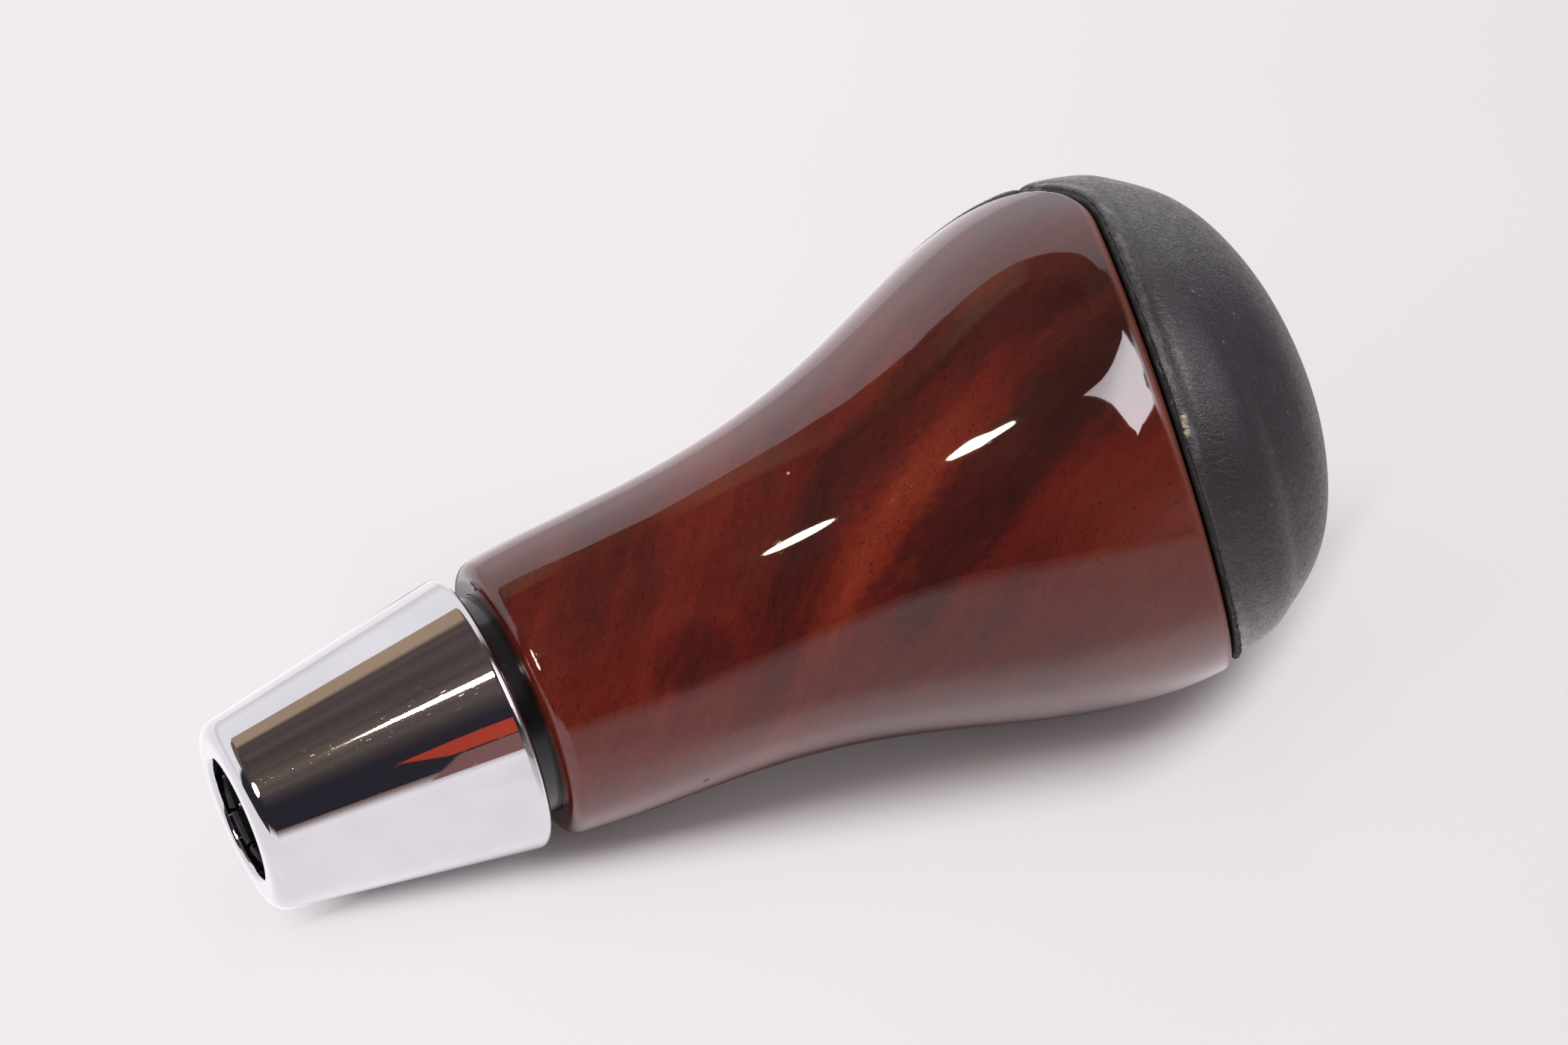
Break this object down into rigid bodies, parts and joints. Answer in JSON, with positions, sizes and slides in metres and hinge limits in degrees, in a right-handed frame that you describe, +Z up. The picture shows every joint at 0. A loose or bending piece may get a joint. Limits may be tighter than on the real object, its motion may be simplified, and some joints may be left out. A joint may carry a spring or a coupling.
{
  "type": "gear shift knob",
  "caption": "Waisted gear shift knob of lacquered wood with a padded leather top and rear strip, and a sprung chrome collar that is lifted to free the lever.",
  "frame": {"origin": "centre of the lever bore at the start of its plain wall, just inside the mouth", "axes": "+Z up the lever into the knob, +Y towards the rear where the leather strip runs down, -Y the wooden front"},
  "size_m": [0.0512, 0.0517, 0.1127],
  "materials": {
    "walnut": "high-gloss clear lacquer over reddish walnut",
    "black_leather": "fine grain, slightly worn",
    "chrome": "bright plated",
    "black_moulding": "glossy moulding",
    "grey_moulding": "plain moulding",
    "spring_steel": "drawn wire",
    "foam": "open-cell padding"
  },
  "bodies": {
    "knob": {"wood_shell": "walnut", "core": "black_moulding", "lever_insert": "grey_moulding", "top_leather": "black_leather", "cap_foam": "foam", "cap_carrier": "black_moulding", "rear_leather": "black_leather", "rear_carrier": "black_moulding", "collar_spring": "spring_steel"},
    "collar": {"collar": "chrome"}
  },
  "joints": [
    {"name": "collar_slide", "type": "slide", "parent": "knob", "child": "collar", "axis": [0, 0, 1], "range_m": [0, 0.0018], "stiffness_N_per_m": 350, "springref_m": -0.007, "deforming": ["collar_spring"]}
  ]
}
